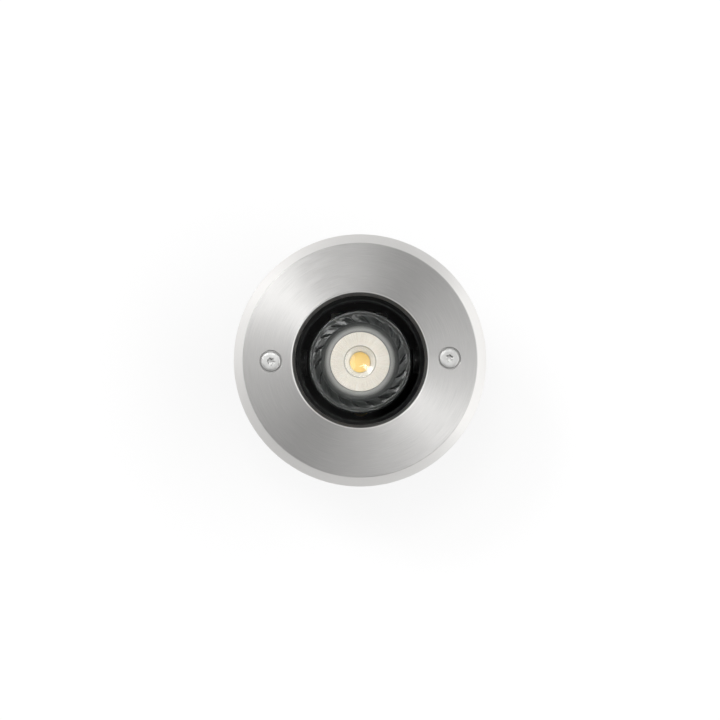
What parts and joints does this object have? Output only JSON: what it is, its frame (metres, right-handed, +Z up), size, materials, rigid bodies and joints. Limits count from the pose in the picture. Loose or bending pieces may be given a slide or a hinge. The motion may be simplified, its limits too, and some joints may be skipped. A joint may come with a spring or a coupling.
{
  "type": "in ground well light",
  "caption": "Round in ground well light with a turned steel cover, thick glass and a tilting, turning reflector lamp in a sealed housing and buried sleeve.",
  "frame": {"origin": "centre of the foot of the mounting sleeve, on the light's axis", "axes": "+Z up out of the ground, towards the glass; the cover screws lie on X"},
  "size_m": [0.12, 0.12, 0.14],
  "materials": {
    "brushed_steel_cover": "turned, circular brushing",
    "screw_steel": "bright machined stainless",
    "clear_glass": "polished, ground edge",
    "gasket_rubber": "matte silicone",
    "baffle_black": "matte black",
    "housing_black": "fine-textured powder coat over cast aluminium",
    "sleeve_black": "moulded polypropylene",
    "zinc_steel": "zinc-plated sheet",
    "coated_steel_black": "satin black electrocoat over pressed steel",
    "brass": "machined",
    "ceramic": "unglazed steatite",
    "lamp_grey": "thermally conductive plastic, satin",
    "lamp_base_white": "moulded",
    "optic": "clear moulded optic, faceted inside",
    "optic_ring": "translucent grey",
    "led_yellow": "phosphor",
    "board_white": "white solder mask",
    "gland_black": "moulded polyamide",
    "terminal_white": "moulded polyamide"
  },
  "bodies": {
    "buried_part": {"mounting_sleeve": "sleeve_black", "lamp_housing": "housing_black", "housing_screws": "screw_steel", "cover_inserts": "brass", "turntable_clip": "zinc_steel", "gland_bodies": "gland_black", "gland_rings": "gasket_rubber", "gland_locknuts": "gland_black", "gland_grommets": "gasket_rubber", "gland_nuts": "gland_black", "terminal_block": "terminal_white", "terminal_barrels": "brass", "terminal_screws": "zinc_steel", "block_screws": "zinc_steel", "earth_washer": "brass", "earth_screw": "brass"},
    "cover": {"front_bezel": "brushed_steel_cover", "cover_screws": "screw_steel", "front_glass": "clear_glass", "glass_gasket": "gasket_rubber", "glare_baffle": "baffle_black"},
    "turntable": {"turntable_ring": "coated_steel_black"},
    "cradle": {"tilt_strap": "coated_steel_black", "pivot_screws": "coated_steel_black", "pivot_washers": "coated_steel_black", "lampholder": "ceramic", "holder_contacts": "brass", "holder_screws": "zinc_steel"},
    "lamp": {"lamp_heatsink": "lamp_grey", "led_board": "board_white", "led_chip": "led_yellow", "lamp_lens": "optic", "lens_clamp_ring": "optic_ring", "lamp_base": "lamp_base_white", "lamp_pins": "brass"}
  },
  "joints": [
    {"name": "cover_lift", "type": "slide", "parent": "buried_part", "child": "cover", "axis": [0, 0, 1], "range_m": [0, 0.06]},
    {"name": "lamp_turn", "type": "hinge", "parent": "buried_part", "child": "turntable", "pos_m": [0, 0, 0.1063], "axis": [0, 0, 1], "range_deg": [-175, 175]},
    {"name": "lamp_tilt", "type": "hinge", "parent": "turntable", "child": "cradle", "pos_m": [0, 0, 0.1155], "axis": [1, 0, 0], "range_deg": [-15, 15]},
    {"name": "lamp_twist", "type": "hinge", "parent": "cradle", "child": "lamp", "pos_m": [0, 0, 0.0685], "axis": [0, 0, 1], "range_deg": [0, 30]}
  ]
}
